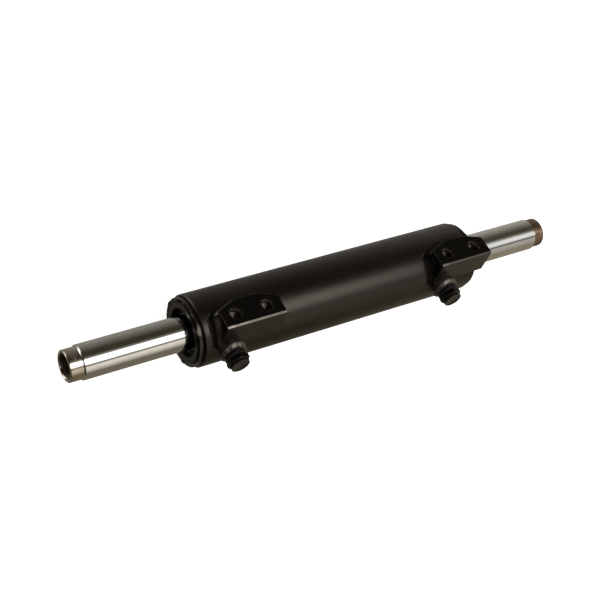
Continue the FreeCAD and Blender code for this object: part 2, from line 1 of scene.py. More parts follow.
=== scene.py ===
import json
import math

import bpy
from mathutils import Matrix, Vector, noise


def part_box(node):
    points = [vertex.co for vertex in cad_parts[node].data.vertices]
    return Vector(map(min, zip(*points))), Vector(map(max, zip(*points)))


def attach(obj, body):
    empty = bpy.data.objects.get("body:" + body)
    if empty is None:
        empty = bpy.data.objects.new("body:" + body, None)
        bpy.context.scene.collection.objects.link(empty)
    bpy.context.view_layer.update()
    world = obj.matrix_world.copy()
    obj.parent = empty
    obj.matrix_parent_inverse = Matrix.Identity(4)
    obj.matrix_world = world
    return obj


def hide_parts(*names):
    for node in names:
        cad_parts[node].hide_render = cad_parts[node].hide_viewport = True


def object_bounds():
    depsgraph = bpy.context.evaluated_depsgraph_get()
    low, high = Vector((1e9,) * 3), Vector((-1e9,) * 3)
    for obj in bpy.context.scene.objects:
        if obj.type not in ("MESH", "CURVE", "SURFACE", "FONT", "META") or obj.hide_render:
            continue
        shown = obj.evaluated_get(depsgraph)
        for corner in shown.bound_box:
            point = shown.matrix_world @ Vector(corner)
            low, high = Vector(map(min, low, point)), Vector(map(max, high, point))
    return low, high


# The looks of a double-rod steering cylinder, in metres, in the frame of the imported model:
# +X along the rod, +Z out of the mounting pads, oil ports towards -Y.

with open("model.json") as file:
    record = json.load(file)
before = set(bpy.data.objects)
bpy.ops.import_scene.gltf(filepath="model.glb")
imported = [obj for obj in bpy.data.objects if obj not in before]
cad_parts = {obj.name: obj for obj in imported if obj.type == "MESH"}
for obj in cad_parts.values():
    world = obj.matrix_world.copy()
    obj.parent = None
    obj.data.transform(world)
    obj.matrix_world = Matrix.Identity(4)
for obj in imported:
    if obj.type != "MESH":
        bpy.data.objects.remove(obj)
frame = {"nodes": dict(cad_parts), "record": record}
cad_low, cad_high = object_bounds()

MM = 0.001
TINY = 1e-6
SIDES = {"left": -1, "right": 1}

# how the cylinder lies: rolled about its own axis, on its barrel and its two port plugs
PART_ROLL = math.radians(30.24)

# camera: direction it looks from, in the frame of the surface the cylinder lies on
CAMERA_AZIMUTH = math.radians(-32.88)
CAMERA_ELEVATION = math.radians(26.38)
CAMERA_DISTANCE = 1.4354
CAMERA_SHIFT_RIGHT = 0.0330
CAMERA_SHIFT_DOWN = -0.0105
CAMERA_LENS = 72.15
CAMERA_SENSOR = 36.0

ROUND_STEPS = 160
BARREL_ROUND_STEPS = 224
SHARP_ANGLE = math.radians(38)


# ---------------------------------------------------------------- mesh helpers

def add_piece(name, points, faces, body, material, replaces=()):
    """A smooth-shaded mesh object that rides on a body and stands for some CAD nodes."""
    mesh = bpy.data.meshes.new(name)
    mesh.from_pydata([tuple(point) for point in points], [], faces)
    mesh.validate()
    mesh.shade_smooth()
    mesh.set_sharp_from_angle(angle=SHARP_ANGLE)
    mesh.materials.append(material)
    piece = bpy.data.objects.new(name, mesh)
    bpy.context.scene.collection.objects.link(piece)
    if replaces:
        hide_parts(*replaces)
    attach(piece, body)
    return piece


def soften(corners, radius, steps=4, closed=True):
    """Rounds every corner of an outline with an arc, smaller where its sides are short."""
    count = len(corners)
    result = []
    for index, corner in enumerate(corners):
        at = Vector(corner)
        if not closed and index in (0, count - 1):
            result.append(at)
            continue
        back = Vector(corners[index - 1]) - at
        ahead = Vector(corners[(index + 1) % count]) - at
        if back.length < 1e-9 or ahead.length < 1e-9:
            continue
        opening = back.angle(ahead)
        if opening > math.radians(176):
            result.append(at)
            continue
        reach = radius / math.tan(opening / 2)
        reach = min(reach, 0.42 * back.length, 0.42 * ahead.length)
        arc_radius = reach * math.tan(opening / 2)
        start = at + back.normalized() * reach
        bisector = (back.normalized() + ahead.normalized()).normalized()
        centre = at + bisector * (arc_radius / math.sin(opening / 2))
        end = at + ahead.normalized() * reach
        for step in range(steps + 1):
            share = step / steps
            chord = (start - centre).lerp(end - centre, share)
            result.append(centre + chord.normalized() * arc_radius)
    return [(float(x), float(y)) for x, y in result]


def lathe(profile, steps=ROUND_STEPS, closed=True):
    """Points and faces of a profile of (x, radius) turned about the X axis."""
    points = []
    rings = []
    for along, radius in profile:
        if radius < 1e-7:
            rings.append([len(points)] * steps)
            points.append((along, 0.0, 0.0))
            continue
        first = len(points)
        rings.append([first + step for step in range(steps)])
        for step in range(steps):
            turn = 2 * math.pi * step / steps
            points.append((along, radius * math.cos(turn), radius * math.sin(turn)))
    faces = []
    spans = len(profile) if closed else len(profile) - 1
    for span in range(spans):
        near = rings[span]
        far = rings[(span + 1) % len(profile)]
        for step in range(steps):
            following = (step + 1) % steps
            face = [near[step], near[following], far[following], far[step]]
            unique = []
            for corner in face:
                if corner not in unique:
                    unique.append(corner)
            if len(unique) > 2:
                faces.append(unique)
    return points, faces


def sweep(sections, closed_path=False):
    """Points and faces of a closed cross-section carried along a path, with its ends capped."""
    width = len(sections[0])
    points = [point for section in sections for point in section]
    faces = []
    spans = len(sections) if closed_path else len(sections) - 1
    for span in range(spans):
        near = span * width
        far = ((span + 1) % len(sections)) * width
        for index in range(width):
            following = (index + 1) % width
            faces.append([near + index, near + following, far + following, far + index])
    if not closed_path:
        faces.append(list(range(width))[::-1])
        faces.append([len(points) - width + index for index in range(width)])
    return points, faces


def mirrored_ends(points, side):
    """Turns points drawn for the right-hand end half a turn about Z for the left-hand end."""
    if SIDES[side] > 0:
        return points
    return [(-x, -y, z) for x, y, z in points]


def thread_ridge(start, length, wall, height, pitch, steps=56):
    """The ridge of an internal screw thread, along X from start, inside a wall of given radius."""
    turns = length / pitch
    total = int(turns * steps)
    sections = []
    root_half = 0.44 * pitch
    crest_half = 0.10 * pitch
    for step in range(total + 1):
        turn = 2 * math.pi * step / steps
        along = start + root_half + (length - 2 * root_half) * step / total
        fade = min(1.0, step / steps, (total - step) / steps)
        crest = wall - height * max(0.04, fade)
        section = []
        for offset, radius in ((-root_half, wall + 0.05 * MM), (root_half, wall + 0.05 * MM),
                               (crest_half, crest), (-crest_half, crest)):
            section.append((along + offset, radius * math.cos(turn), radius * math.sin(turn)))
        sections.append(section)
    return sweep(sections)


# ---------------------------------------------------------------- materials

class Tree:
    """Small wrapper that keeps node building short."""

    def __init__(self, material):
        material.use_nodes = True
        self.nodes = material.node_tree.nodes
        self.links = material.node_tree.links
        self.shader = self.nodes.get("Principled BSDF")

    def add(self, kind, **settings):
        node = self.nodes.new(kind)
        for key, value in settings.items():
            setattr(node, key, value)
        return node

    def join(self, source, target):
        self.links.new(source, target)

    def set(self, socket, value):
        if isinstance(value, bpy.types.NodeSocket):
            self.join(value, socket)
        else:
            socket.default_value = value

    def position(self, scale=(1, 1, 1)):
        """Object coordinates, stretched."""
        where = self.add("ShaderNodeTexCoord")
        mapping = self.add("ShaderNodeMapping")
        mapping.inputs["Scale"].default_value = scale
        self.join(where.outputs["Object"], mapping.inputs["Vector"])
        return mapping.outputs["Vector"]

    def noise(self, scale, detail=3.0, roughness=0.5, stretch=(1, 1, 1), distortion=0.0):
        texture = self.add("ShaderNodeTexNoise")
        texture.inputs["Scale"].default_value = scale
        texture.inputs["Detail"].default_value = detail
        texture.inputs["Roughness"].default_value = roughness
        texture.inputs["Distortion"].default_value = distortion
        self.join(self.position(stretch), texture.inputs["Vector"])
        return texture.outputs["Fac"]

    def spread(self, value, low, high, out_low=0.0, out_high=1.0):
        """Maps a value's range onto another, clamped."""
        node = self.add("ShaderNodeMapRange")
        self.set(node.inputs["Value"], value)
        for name, number in (("From Min", low), ("From Max", high),
                             ("To Min", out_low), ("To Max", out_high)):
            node.inputs[name].default_value = number
        return node.outputs["Result"]

    def math(self, operation, first, second=0.0):
        node = self.add("ShaderNodeMath", operation=operation)
        self.set(node.inputs[0], first)
        self.set(node.inputs[1], second)
        return node.outputs["Value"]

    def mix(self, share, first, second):
        """A colour between two colours."""
        node = self.add("ShaderNodeMix", data_type="RGBA")
        self.set(node.inputs["Factor"], share)
        for socket, value in ((node.inputs["A"], first), (node.inputs["B"], second)):
            if isinstance(value, tuple):
                value = (*value, 1.0)
            self.set(socket, value)
        return node.outputs["Result"]

    def bump(self, height, strength, distance, normal=None):
        node = self.add("ShaderNodeBump")
        node.inputs["Strength"].default_value = strength
        node.inputs["Distance"].default_value = distance
        self.join(height, node.inputs["Height"])
        if normal is not None:
            self.join(normal, node.inputs["Normal"])
        return node.outputs["Normal"]

    def edge(self, radius):
        """About 0 on flat ground, rising towards 1 on sharp edges."""
        bevel = self.add("ShaderNodeBevel", samples=4)
        bevel.inputs["Radius"].default_value = radius
        geometry = self.add("ShaderNodeNewGeometry")
        dot = self.add("ShaderNodeVectorMath", operation="DOT_PRODUCT")
        self.join(bevel.outputs["Normal"], dot.inputs[0])
        self.join(geometry.outputs["Normal"], dot.inputs[1])
        return self.spread(dot.outputs["Value"], 0.995, 0.80)


def new_material(name):
    material = bpy.data.materials.new(name)
    return material, Tree(material)


PAINT_SHEEN = (1.0, 0.86, 0.73, 1.0)
BARE_STEEL = (0.42, 0.38, 0.33)


def painted(name, colour, warm, roughness, texture=0.06, edge_wear_and_highlight_radius=0.5 * MM, gloss=0.5,
            worn=None):
    """Sprayed satin enamel: faint orange peel, dusty patches, paler on the edges.

    The paler edges are partly thinner paint and partly a painted highlight.

    worn, and gloss where it isn't a plain number, are functions that build a measure in the
    material's tree: how bare the steel is, and how much the paint shines.
    """
    material, tree = new_material(name)
    shader = tree.shader
    patches = tree.noise(14, 4, 0.6)
    specks = tree.noise(900, 2, 0.7)
    base = tree.mix(tree.spread(patches, 0.35, 0.7), colour, warm)
    base = tree.mix(tree.spread(specks, 0.72, 0.8, 0, 0.35), base,
                    tuple(4 * channel for channel in warm))
    edge = tree.math("MULTIPLY", tree.edge(edge_wear_and_highlight_radius), tree.spread(tree.noise(220), 0.3, 0.7))
    # paler colour on sharp edges: partly thinner paint, partly a painted highlight
    base = tree.mix(tree.math("MULTIPLY", edge, 0.35), base, (0.10, 0.09, 0.08))
    if worn is not None:
        bare = worn(tree)
        base = tree.mix(bare, base, BARE_STEEL)
        tree.join(bare, shader.inputs["Metallic"])
    tree.join(base, shader.inputs["Base Color"])
    shine = tree.spread(tree.noise(40, 3), 0.3, 0.7, roughness - 0.03, roughness + 0.05)
    tree.join(shine, shader.inputs["Roughness"])
    shader.inputs["IOR"].default_value = 1.5
    tree.set(shader.inputs["Specular IOR Level"], gloss(tree) if callable(gloss) else gloss)
    shader.inputs["Specular Tint"].default_value = PAINT_SHEEN
    peel = tree.bump(tree.noise(700, 2, 0.5), texture, 0.2 * MM)
    peel = tree.bump(tree.noise(60, 2, 0.5), texture * 0.5, 1.0 * MM, peel)
    tree.join(peel, shader.inputs["Normal"])
    return material


def coordinates(tree):
    """Where a point lies on the part, as separate X, Y and Z."""
    separate = tree.add("ShaderNodeSeparateXYZ")
    tree.join(tree.position(), separate.inputs["Vector"])
    return separate.outputs


# where the pads' paint is worn: across the front edge, up to the top corner, and along each pad,
# with how worn it is at the first place and at the second
WORN_FRONT = (-36.8 * MM, -37.6 * MM)
WORN_CORNER = (48.8 * MM, 49.6 * MM)
WORN_LEFT_PAD = (-162 * MM, -110 * MM, 1.0, 0.55)
WORN_RIGHT_PAD = (134 * MM, 138 * MM, 1.0, 0.12)
# the height at which a pad's painted side gives way to its dull top, and the shine of the two
PAD_TOP = (50.8 * MM, 50.95 * MM)
PAD_SHINE = (0.55, 0.12)


def pad_wear(tree):
    """Bare steel along the front corner of the pads, most at each pad's left end."""
    place = coordinates(tree)
    across = tree.spread(place["Y"], *WORN_FRONT)
    height = tree.spread(place["Z"], *WORN_CORNER)
    bare = tree.spread(tree.noise(90, 3, 0.6), 0.42, 0.62, 0.22, 0.42)
    left_pad = tree.spread(place["X"], *WORN_LEFT_PAD)
    right_pad = tree.spread(place["X"], *WORN_RIGHT_PAD)
    along = tree.math("MINIMUM", left_pad, right_pad)
    corner = tree.math("MULTIPLY", across, height)
    return tree.math("MULTIPLY", tree.math("MULTIPLY", corner, along), bare)


def pad_gloss(tree):
    """Machined tops that shine less than the painted sides."""
    return tree.spread(coordinates(tree)["Z"], *PAD_TOP, *PAD_SHINE)


def turned_metal(name, colour, tint, roughness, marks, stain=0.0, ring_scale=2200,
                 stain_colour=(0.10, 0.05, 0.025), patch=60):
    """Machined metal: fine rings about the X axis, uneven shine and optional brown staining."""
    material, tree = new_material(name)
    shader = tree.shader
    rings = tree.noise(1.0, 4, 0.65, (ring_scale, 18, 18))
    broad = tree.noise(patch, 4, 0.6)
    base = tree.mix(tree.spread(broad, 0.35, 0.65), colour, tint)
    if stain > 0:
        blotches = tree.noise(patch * 2.2, 5, 0.7, (1, 1, 1), 0.6)
        cover = tree.spread(blotches, 0.62 - 0.3 * stain, 0.74 - 0.2 * stain, 0.0, 1.0)
        base = tree.mix(cover, base, stain_colour)
        tree.join(tree.spread(cover, 0.0, 1.0, 1.0, 0.55), shader.inputs["Metallic"])
        shine = tree.math("ADD", tree.spread(cover, 0, 1, 0, 0.22),
                          tree.spread(rings, 0.3, 0.7, roughness * 0.7, roughness * 1.3))
        tree.join(shine, shader.inputs["Roughness"])
    else:
        shader.inputs["Metallic"].default_value = 1.0
        tree.join(tree.spread(rings, 0.3, 0.7, roughness * 0.7, roughness * 1.3),
                  shader.inputs["Roughness"])
    tree.join(base, shader.inputs["Base Color"])
    tree.join(tree.bump(rings, marks, 0.05 * MM), shader.inputs["Normal"])
    return material


def moulded(name, colour, tint, roughness, grain=0.15, patch=80):
    """Rubber or plastic: matt, with a fine grain and slight dust."""
    material, tree = new_material(name)
    shader = tree.shader
    tree.join(tree.mix(tree.spread(tree.noise(patch, 4, 0.6), 0.35, 0.65), colour, tint),
              shader.inputs["Base Color"])
    tree.join(tree.spread(tree.noise(300, 3), 0.3, 0.7, roughness - 0.06, roughness + 0.06),
              shader.inputs["Roughness"])
    tree.join(tree.bump(tree.noise(1500, 3, 0.6), grain, 0.1 * MM), shader.inputs["Normal"])
    return material


BLACK_PAINT = painted("black_paint", (0.002, 0.0018, 0.0015), (0.004, 0.0033, 0.0026), 0.33)
# pads: a wider pale edge, partly thinner paint and partly a painted highlight
PAD_PAINT = painted("pad_paint", (0.002, 0.0018, 0.0015), (0.004, 0.0034, 0.0028), 0.28, 0.06,
                    1.2 * MM, pad_gloss, pad_wear)
# near-black, almost glossless weld paint: painted shade in the hollow beside each pad
WELD_PAINT = painted("weld_paint", (0.001, 0.0009, 0.0008), (0.002, 0.0017, 0.0015), 0.34, 0.12,
                     0.3 * MM, 0.06)
PORT_WELD_PAINT = painted("port_weld_paint", (0.012, 0.010, 0.009), (0.035, 0.030, 0.025), 0.26,
                          0.12, 0.3 * MM, 0.9)
GLAND_PAINT = painted("gland_paint", (0.003, 0.0026, 0.0022), (0.006, 0.005, 0.004), 0.30, 0.10,
                      gloss=0.2)
RING_PAINT = painted("ring_paint", (0.003, 0.0027, 0.0024), (0.006, 0.0052, 0.0045), 0.22, 0.10)
PLUG_PAINT = painted("plug_paint", (0.002, 0.0018, 0.0016), (0.004, 0.0034, 0.003), 0.32, 0.08,
                     0.3 * MM, 0.12)
# the plug disc's own brown paint, also used as a painted highlight on the hex head's top slope
PLUG_DISC_AND_HIGHLIGHT_PAINT = painted("plug_disc_and_highlight_paint", (0.007, 0.006, 0.005), (0.015, 0.012, 0.009), 0.32,
                          0.08)
CHROME = turned_metal("hard_chrome", (0.66, 0.66, 0.64), (0.72, 0.72, 0.70), 0.085, 0.015)
GROUND_STEEL = turned_metal("ground_steel", (0.60, 0.54, 0.46), (0.50, 0.43, 0.35), 0.15, 0.08,
                            0.12, 1500)
BROWN_STEEL = turned_metal("brown_steel", (0.30, 0.21, 0.15), (0.20, 0.12, 0.075), 0.34, 0.35,
                           0.55, 1300, (0.11, 0.06, 0.035), 110)
THREAD_STEEL = turned_metal("thread_steel", (0.16, 0.14, 0.12), (0.09, 0.075, 0.06), 0.36, 0.2,
                            0.4, 900)
HOLE_STEEL = turned_metal("tapped_hole_steel", (0.30, 0.27, 0.24), (0.20, 0.18, 0.15), 0.5, 0.2)
PISTON_IRON = turned_metal("piston_iron", (0.30, 0.29, 0.28), (0.22, 0.21, 0.20), 0.38, 0.3)
BRONZE = turned_metal("bushing_bronze", (0.58, 0.40, 0.19), (0.48, 0.31, 0.14), 0.30, 0.3)
SPRING_STEEL = turned_metal("spring_steel", (0.30, 0.30, 0.31), (0.22, 0.22, 0.23), 0.28, 0.2)
RUBBER = moulded("black_rubber", (0.012, 0.012, 0.012), (0.022, 0.021, 0.020), 0.62)
POLYURETHANE = moulded("wiper_polyurethane", (0.016, 0.015, 0.014), (0.03, 0.027, 0.024), 0.45,
                       0.08)
PTFE = moulded("bronze_filled_ptfe", (0.20, 0.14, 0.09), (0.26, 0.19, 0.12), 0.5, 0.1)

SLOT_MATERIALS = {
    "black_paint": BLACK_PAINT,
    "gland_steel": GLAND_PAINT,
    "plug_steel": PLUG_PAINT,
    "hard_chrome": CHROME,
    "piston_iron": PISTON_IRON,
    "bronze": BRONZE,
    "spring_steel": SPRING_STEEL,
    "rubber": RUBBER,
    "polyurethane": POLYURETHANE,
    "ptfe": PTFE,
}


NODE_MATERIALS = {}
for side in SIDES:
    NODE_MATERIALS[f"{side}_mounting_pad"] = PAD_PAINT
    NODE_MATERIALS[f"{side}_lock_ring"] = RING_PAINT


def finish_cad_nodes():
    """Gives every CAD node that is still shown its own finish, or its material slot's."""
    slots = {part["node"]: part["material_slot"] for part in frame["record"]["subparts"]}
    for name, node in frame["nodes"].items():
        node.data.materials.clear()
        node.data.materials.append(NODE_MATERIALS.get(name, SLOT_MATERIALS[slots[name]]))


# ---------------------------------------------------------------- barrel and its fittings

def radius_of(node):
    low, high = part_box(node)
    return max(high.y, high.z, -low.y, -low.z)


BARREL_RADIUS = radius_of("barrel_tube")
BARREL_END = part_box("barrel_tube")[1].x
BORE_RADIUS = 35.0 * MM
COUNTERBORE_RADIUS = 40.4 * MM
COUNTERBORE_DEPTH = 5.0 * MM
BARREL_CHAMFER = 1.4 * MM
MACHINED_EDGE = 0.35 * MM


def make_barrel():
    """Painted tube with chamfered, counterbored ends."""
    half = [
        (BARREL_END - COUNTERBORE_DEPTH, BORE_RADIUS),
        (BARREL_END - COUNTERBORE_DEPTH, COUNTERBORE_RADIUS),
        (BARREL_END, COUNTERBORE_RADIUS),
        (BARREL_END, BARREL_RADIUS - BARREL_CHAMFER),
        (BARREL_END - BARREL_CHAMFER, BARREL_RADIUS),
    ]
    other = [(-along, radius) for along, radius in reversed(half)]
    points, faces = lathe(soften(half + other, MACHINED_EDGE), BARREL_ROUND_STEPS)
    add_piece("barrel_shell", points, faces, "barrel", BLACK_PAINT,
              ["barrel_tube"])


PAD_FRONT = 39.4 * MM
PAD_CORNER = 14.5 * MM
PAD_BACK_HALF = 14.5 * MM
WELD_LEG = 6.4 * MM
WELD_LEFT_SPREAD = 1.0
WELD_TAIL = 1.9 * MM
WELD_STOP = 1.5 * MM
WELD_PATH_CORNER = 5.0 * MM
WELD_PATH_STEP = 0.5 * MM
WELD_END_GAP = 1.0 * MM
WELD_FADE = 4.0 * MM
WELD_FADE_START = 0.8 * MM
WELD_HOLLOW = 1.9
WELD_LAG = 1.6 * MM
WELD_WANDER = 0.07
WELD_PROFILE_STEPS = 15
WELD_LIP = 0.6 * MM
WELD_LIP_START = 0.86
# share of the weld's profile, from the pad outwards, that takes plain black paint instead of the
# painted shade
WELD_UNSHADED_HEEL = {"left": 0.4, "right": 0.0}
WELD_RIPPLE = 0.30 * MM
WELD_PITCH = 3.4 * MM
WELD_SUNK = 0.5 * MM


def surface_height(across):
    """Height of the barrel's surface above its axis, at a distance across."""
    return math.sqrt(max(0.0, BARREL_RADIUS ** 2 - across ** 2))


def pad_path(side):
    """Plan line of the weld round a pad: (along, across) points with outward directions."""
    low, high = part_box(f"{side}_mounting_pad")
    middle = (low.x + high.x) / 2
    corners = [
        (low.x, -PAD_FRONT - WELD_TAIL), (low.x, -PAD_CORNER),
        (middle - PAD_BACK_HALF, high.y), (middle + PAD_BACK_HALF, high.y),
        (high.x, -PAD_CORNER), (high.x, -PAD_FRONT + WELD_STOP),
    ]
    rounded = soften(corners, WELD_PATH_CORNER, 8, closed=False)
    path = []
    for start, end in zip(rounded, rounded[1:]):
        count = max(1, round(math.dist(start, end) / WELD_PATH_STEP))
        for step in range(count):
            path.append(Vector(start).lerp(Vector(end), step / count))
    path.append(Vector(rounded[-1]))
    return [point for point in path if abs(point.x) < BARREL_END - WELD_END_GAP]


def make_pad_weld(side):
    """Rippled fillet weld that follows the pad round its sides and back, wide on its left."""
    path = pad_path(side)
    sections = []
    travelled = 0.0
    total = sum((b - a).length for a, b in zip(path, path[1:]))
    for index, point in enumerate(path):
        before = path[max(0, index - 1)]
        after = path[min(len(path) - 1, index + 1)]
        heading = (after - before).normalized()
        outward = Vector((-heading.y, heading.x))
        if index:
            travelled += (point - path[index - 1]).length
        fade = min(1.0, (travelled + WELD_FADE_START) / WELD_FADE,
                   (total - travelled + WELD_FADE_START) / WELD_FADE)
        wander = noise.noise(Vector((travelled * 160, SIDES[side], 0.3)))
        leg = WELD_LEG * fade * (1 + WELD_WANDER * wander)
        spread = leg * (1 + WELD_LEFT_SPREAD * max(0.0, -outward.x) ** 4)
        section = []
        for step in range(WELD_PROFILE_STEPS + 1):
            share = step / WELD_PROFILE_STEPS
            swell = math.sin(math.pi * share)
            rise = leg * (1 - share) ** WELD_HOLLOW
            if share > WELD_LIP_START:
                round_lip = math.sin(math.pi * (share - WELD_LIP_START) / (1 - WELD_LIP_START))
                rise += WELD_LIP * fade * round_lip
            phase = (travelled + WELD_LAG * swell) / WELD_PITCH
            ripple = abs(math.sin(math.pi * phase)) * swell
            rise += WELD_RIPPLE * fade * (ripple + 0.3 * wander * swell)
            plan = point + outward * (spread * share)
            section.append((plan.x, plan.y, surface_height(plan.y) + max(rise, 0.0)))
        toe = point + outward * spread
        section.append((toe.x, toe.y, surface_height(toe.y) - WELD_SUNK))
        heel = point - outward * WELD_SUNK
        section.append((heel.x, heel.y, surface_height(heel.y) - WELD_SUNK))
        section.append((heel.x, heel.y, surface_height(point.y) + leg * 0.9))
        sections.append(section)
    points, faces = sweep(sections)
    bead = add_piece(f"{side}_pad_weld_bead", points, faces, "barrel", WELD_PAINT,
                     [f"{side}_pad_weld"])
    # the lip, and the heel on the left, take plain black paint; the rest of the bead keeps the
    # painted shade
    bead.data.materials.append(BLACK_PAINT)
    width = len(sections[0])
    for face in bead.data.polygons:
        share = min(corner % width for corner in face.vertices) / WELD_PROFILE_STEPS
        if share < WELD_UNSHADED_HEEL[side] or WELD_LIP_START <= share < 1:
            face.material_index = 1


BOSS_RADIUS = 13.0 * MM
BOSS_WELD_LEG = 3.9 * MM
BOSS_WELD_AROUND = 150
BOSS_WELD_PROFILE_STEPS = 10
BOSS_WELD_ROUNDNESS = 1.8
BOSS_WELD_LUMP = 0.5 * MM
BOSS_WELD_RIPPLES = 7


def make_port_weld(side):
    """Lumpy ring of weld that follows the barrel round a port boss."""
    low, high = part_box(f"{side}_port_boss")
    middle = (low.x + high.x) / 2
    sections = []
    for step in range(BOSS_WELD_AROUND):
        turn = 2 * math.pi * step / BOSS_WELD_AROUND
        lump = 0.5 * noise.noise(Vector((2.2 * math.cos(turn), 2.2 * math.sin(turn), SIDES[side])))
        lump += 0.35 * abs(math.sin(BOSS_WELD_RIPPLES * turn))
        leg = BOSS_WELD_LEG * (0.92 + 0.25 * lump)
        section = []
        for share_step in range(BOSS_WELD_PROFILE_STEPS + 1):
            share = share_step / BOSS_WELD_PROFILE_STEPS
            reach = BOSS_RADIUS + leg * share
            along = middle + reach * math.cos(turn)
            height = reach * math.sin(turn)
            rise = leg * (1 - share ** BOSS_WELD_ROUNDNESS)
            rise += BOSS_WELD_LUMP * lump * math.sin(math.pi * share)
            section.append((along, -surface_height(height) - max(rise, 0.0), height))
        for reach, rise in ((BOSS_RADIUS + leg, -WELD_SUNK), (BOSS_RADIUS - WELD_SUNK, -WELD_SUNK),
                            (BOSS_RADIUS - WELD_SUNK, leg * 0.9)):
            height = reach * math.sin(turn)
            section.append((middle + reach * math.cos(turn), -surface_height(height) - rise, height))
        sections.append(section)
    points, faces = sweep(sections, closed_path=True)
    add_piece(f"{side}_port_weld_bead", points, faces, "barrel", PORT_WELD_PAINT,
              [f"{side}_port_weld"])


PAD_HOLE_RADIUS = 8.0 * MM
PAD_HOLE_DEPTH = 10.0 * MM
PAD_HOLE_Y = 22.8 * MM
PAD_HOLE_SPACING = 40.5 * MM
PAD_THREAD_PITCH = 2.0 * MM
PAD_THREAD_HEIGHT = 0.4 * MM
PAD_THREAD_START = 1.2 * MM
PAD_THREAD_LENGTH = PAD_HOLE_DEPTH - 1.4 * MM


def make_pad_threads(side):
    """Screw threads in a pad's two holes."""
    low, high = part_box(f"{side}_mounting_pad")
    middle = (low.x + high.x) / 2
    for name, offset in (("outer", -0.5), ("inner", 0.5)):
        ridge, faces = thread_ridge(PAD_THREAD_START, PAD_THREAD_LENGTH, PAD_HOLE_RADIUS,
                                    PAD_THREAD_HEIGHT, PAD_THREAD_PITCH)
        points = [(middle + offset * PAD_HOLE_SPACING + across, -PAD_HOLE_Y + height,
                   high.z - along) for along, across, height in ridge]
        add_piece(f"{side}_pad_{name}_thread", points, faces, "barrel", HOLE_STEEL)


PLUG_FLAT = 12.0 * MM
PLUG_NECK_RADIUS = 9.6 * MM
PLUG_NECK = 1.4 * MM
PLUG_DISC_RADIUS = 11.4 * MM
PLUG_DISC = 2.0 * MM
PLUG_SHANK_RADIUS = 8.9 * MM
PLUG_STEPS = 120
PLUG_DISH_DEPTH = 0.35 * MM
PLUG_DISH_RIM = 1.8 * MM
PLUG_DISH_SLOPE = 0.5 * MM
# depth of the hex head's top slope that takes the disc's lighter paint as a painted highlight
PLUG_HIGHLIGHT_SLOPE = 0.7 * MM


def make_port_plug(side):
    """Hexagon head with rounded-off corners, a neck, and a flat disc with a shallow dish."""
    low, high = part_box(f"{side}_port_plug")
    middle = (low.x + high.x) / 2
    hex_top = -low.y - PLUG_DISC - PLUG_NECK
    seal_top = -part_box(f"{side}_plug_seal")[0].y
    corner = PLUG_FLAT / math.cos(math.pi / 6)
    neck_top = hex_top + PLUG_NECK
    top = -low.y
    dish = PLUG_DISC_RADIUS - PLUG_DISH_RIM
    shank = [(-high.y, 0.0), (-high.y, PLUG_SHANK_RADIUS), (seal_top, PLUG_SHANK_RADIUS)]
    hexagon = [
        (seal_top, PLUG_FLAT - 0.3 * MM), (seal_top + 0.9 * MM, corner),
        (hex_top - 1.7 * MM, corner), (hex_top - 0.5 * MM, PLUG_FLAT + 0.2 * MM),
        (hex_top, PLUG_FLAT - 0.5 * MM),
    ]
    disc = [
        (hex_top - 0.1 * MM, PLUG_NECK_RADIUS), (neck_top, PLUG_NECK_RADIUS),
        (neck_top, PLUG_DISC_RADIUS - 0.4 * MM), (neck_top + 0.4 * MM, PLUG_DISC_RADIUS),
        (top - 0.5 * MM, PLUG_DISC_RADIUS), (top, PLUG_DISC_RADIUS - 0.6 * MM),
        (top, dish), (top - PLUG_DISH_DEPTH, dish - PLUG_DISH_SLOPE),
        (top - PLUG_DISH_DEPTH, 0.0),
    ]
    points, faces = lathe(shank + hexagon + disc, PLUG_STEPS, closed=False)
    placed = []
    for reach, across, height in points:
        radius = math.hypot(across, height)
        if radius > PLUG_FLAT - 0.31 * MM and seal_top - TINY < reach < hex_top + TINY:
            turn = math.atan2(height, across)
            nearest = round(turn / (math.pi / 3)) * (math.pi / 3)
            limit = PLUG_FLAT / math.cos(turn - nearest)
            shrink = min(1.0, limit / radius)
            across, height = across * shrink, height * shrink
        placed.append((middle + across, -reach, height))
    plug = add_piece(f"{side}_plug_body", placed, faces, "barrel", PLUG_PAINT,
                     [f"{side}_port_plug"])
    plug.data.materials.append(PLUG_DISC_AND_HIGHLIGHT_PAINT)
    # the disc keeps its own paint; the hex head's top slope takes it too, as a painted highlight
    for face in plug.data.polygons:
        reach = -face.center.y
        on_highlight_slope = hex_top - PLUG_HIGHLIGHT_SLOPE < reach < hex_top - 0.15 * MM
        if on_highlight_slope or reach > neck_top - 0.1 * MM:
            face.material_index = 1


# ---------------------------------------------------------------- glands

# the gland's radii, and where its steps lie from its inner face, in millimetres
GLAND_ROD_HOLE = 20.4
GLAND_BUSHING_HOUSING = 22.5
GLAND_SEAL_HOUSING = 25.0
GLAND_PILOT = 31.0
GLAND_ORING_GROOVE = 31.2
GLAND_BODY = 34.95
GLAND_NOSE = 35.2
GLAND_COLLAR = 36.4
GLAND_MOUTH = 28.5
GLAND_MOUTH_FLOOR = 27.8
GLAND_MOUTH_DEPTH = 8.0
GLAND_RIM_DEPTH = 2.0
GLAND_COLLAR_OUT = 2.0
GLAND_PILOT_LENGTH = 17.0
GLAND_ORING = (20.0, 25.4)
GLAND_BUSHING = (3.0, 15.0)
GLAND_ROD_SEAL = (24.0, 31.0)
GLAND_WIPER_START = 33.0
GLAND_CORNER = 0.6 * MM


